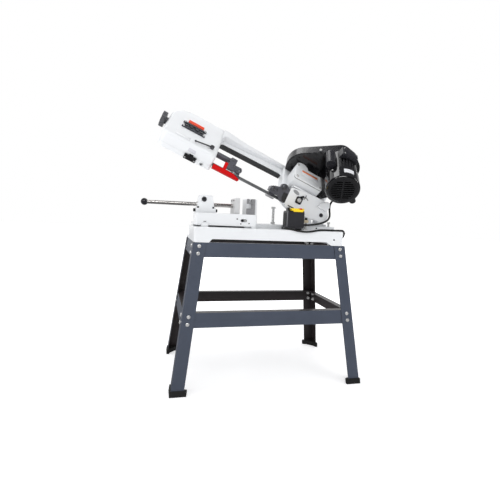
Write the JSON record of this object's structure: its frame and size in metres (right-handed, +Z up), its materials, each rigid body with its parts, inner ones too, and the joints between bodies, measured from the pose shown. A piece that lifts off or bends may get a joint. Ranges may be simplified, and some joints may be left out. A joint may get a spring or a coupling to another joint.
{
  "type": "metal cutting band saw",
  "caption": "Horizontal metal cutting band saw on an open four-legged stand, with a pivoting saw arm, side motor, belt guard and sliding vise.",
  "frame": {"origin": "on the floor under the centre of the saw's own box, cords left out", "axes": "+Z up, +X along the bed towards the motor end, +Y from the operator's side to the back"},
  "size_m": [0.9052, 0.465, 1.0556],
  "materials": {
    "paint_white": "gloss",
    "paint_blue": "satin",
    "paint_black": "satin",
    "paint_red": "gloss",
    "paint_orange": "gloss",
    "steel": "satin",
    "steel_dark": "satin",
    "zinc": "bright",
    "iron_grey": "machined",
    "iron_wheel": "machined",
    "alloy": "satin",
    "plastic_black": "satin",
    "plastic_yellow": "gloss",
    "plastic_red": "gloss",
    "plastic_green": "gloss",
    "rubber": "matte"
  },
  "bodies": {
    "base": {"stand_legs": "paint_blue", "stand_rails": "paint_blue", "stand_feet": "rubber", "stand_bolts": "zinc", "bed": "paint_white", "bed_screws": "zinc", "vise_table": "paint_white", "vise_bracket": "paint_white", "switch_box": "plastic_black", "switch_frame": "plastic_black", "pivot_bracket": "paint_white", "pivot_pins": "steel_dark", "box_glands": "plastic_black", "mains_cord": "rubber", "cord_coil": "rubber", "mains_plug": "rubber", "motor_lead": "rubber"},
    "fixed_jaw_body": {"fixed_jaw": "paint_white", "jaw_insert": "iron_grey"},
    "vise_slider": {"vise_rod": "steel", "rod_ball": "plastic_black", "movable_jaw": "paint_white"},
    "rod_lock": {"vise_cam": "steel_dark"},
    "flap": {"switch_flap": "plastic_yellow"},
    "stop_key": {"stop_button": "plastic_red"},
    "start_key": {"start_button": "plastic_green"},
    "arm": {"arm_casting": "paint_white", "gearbox_cover": "paint_white", "arm_screws": "zinc", "cover_hinge": "paint_black", "drive_cover": "paint_white", "return_guard": "paint_black", "slide_gibs": "steel", "tension_scale": "paint_orange", "v_belt": "rubber", "guard_backplate": "paint_black", "guard_cover": "paint_black", "motor_body": "paint_black", "fan_cover": "paint_black", "junction_box": "plastic_black", "capacitor": "plastic_black", "motor_bracket": "paint_black", "blade": "steel_dark", "right_guide": "paint_black"},
    "idler_lid": {"idler_cover": "paint_white", "cover_leaf": "paint_black"},
    "tension_wheel": {"tension_knob": "plastic_black", "tension_screw": "steel"},
    "tension_block": {"tension_slider": "steel_dark"},
    "idler": {"idler_wheel": "iron_wheel"},
    "drive": {"drive_wheel": "iron_wheel", "drive_shaft": "steel"},
    "worm": {"worm_shaft": "steel", "worm_pulley": "alloy"},
    "rotor": {"motor_rotor": "steel", "motor_pulley": "alloy"},
    "guide": {"guide_bar": "steel_dark", "guide_head": "paint_black", "blade_guard": "paint_red"},
    "guide_clamp": {"guide_lever": "steel"}
  },
  "joints": [
    {"name": "arm_lift", "type": "hinge", "parent": "base", "child": "arm", "pos_m": [0.26364, 0, 0.6593], "axis": [0, 1, 0], "range_deg": [-23, 37], "deforming": ["motor_lead"]},
    {"name": "vise_feed", "type": "slide", "parent": "base", "child": "vise_slider", "axis": [1, 0, 0], "range_m": [-0.055, 0.026]},
    {"name": "jaw_swivel", "type": "hinge", "parent": "base", "child": "fixed_jaw_body", "pos_m": [-0.03556, -0.066, 0.675], "axis": [0, 0, 1], "range_deg": [0, 45]},
    {"name": "rod_lock_turn", "type": "hinge", "parent": "base", "child": "rod_lock", "pos_m": [-0.22806, -0.097, 0.697], "axis": [0, 1, 0], "range_deg": [0, 90]},
    {"name": "flap_hinge", "type": "hinge", "parent": "base", "child": "flap", "pos_m": [0.12593, -0.103, 0.6724], "axis": [-1, 0, 0], "range_deg": [0, 100]},
    {"name": "stop_press", "type": "slide", "parent": "flap", "child": "stop_key", "axis": [0, 0, -1], "range_m": [0, 0.003], "stiffness_N_per_m": 600},
    {"name": "start_press", "type": "slide", "parent": "base", "child": "start_key", "axis": [0, 0, -1], "range_m": [0, 0.003], "stiffness_N_per_m": 600},
    {"name": "idler_lid_hinge", "type": "hinge", "parent": "arm", "child": "idler_lid", "pos_m": [-0.27546, -0.03778, 0.85831], "axis": [-0.9205, 0, 0.3907], "range_deg": [0, 100]},
    {"name": "tension_turn", "type": "hinge", "parent": "arm", "child": "tension_wheel", "pos_m": [-0.37601, 0.00217, 0.99509], "axis": [-0.9205, 0, 0.3907], "range_deg": [-2402, 0]},
    {"name": "tension_slide", "type": "slide", "parent": "arm", "child": "tension_block", "axis": [-0.9205, 0, 0.3907], "range_m": [-0.01, 0]},
    {"name": "idler_spin", "type": "hinge", "parent": "tension_block", "child": "idler", "pos_m": [-0.27144, 0.03611, 0.94456], "axis": [0.2763, -0.7071, 0.6509], "continuous": true},
    {"name": "drive_spin", "type": "hinge", "parent": "arm", "child": "drive", "pos_m": [0.21275, 0.03611, 0.73904], "axis": [0.2763, -0.7071, 0.6509], "continuous": true},
    {"name": "worm_spin", "type": "hinge", "parent": "arm", "child": "worm", "pos_m": [0.19637, -0.01621, 0.80283], "axis": [-0.2763, -0.7071, -0.6509], "continuous": true},
    {"name": "motor_spin", "type": "hinge", "parent": "arm", "child": "rotor", "pos_m": [0.32756, -0.09753, 0.83549], "axis": [-0.2763, -0.7071, -0.6509], "continuous": true},
    {"name": "guide_slide", "type": "slide", "parent": "arm", "child": "guide", "axis": [-0.9205, 0, 0.3907], "range_m": [-0.08, 0]},
    {"name": "guide_clamp_turn", "type": "hinge", "parent": "arm", "child": "guide_clamp", "pos_m": [-0.19541, -0.04732, 0.89846], "axis": [0.2763, -0.7071, 0.6509], "range_deg": [0, 60]}
  ],
  "couplings": [
    {"joint": "worm_spin", "follows": "motor_spin", "ratio": 1.2222},
    {"joint": "drive_spin", "follows": "motor_spin", "ratio": 0.030556},
    {"joint": "idler_spin", "follows": "motor_spin", "ratio": 0.030556},
    {"joint": "tension_turn", "follows": "tension_slide", "rad_per_m": 4188.8}
  ]
}
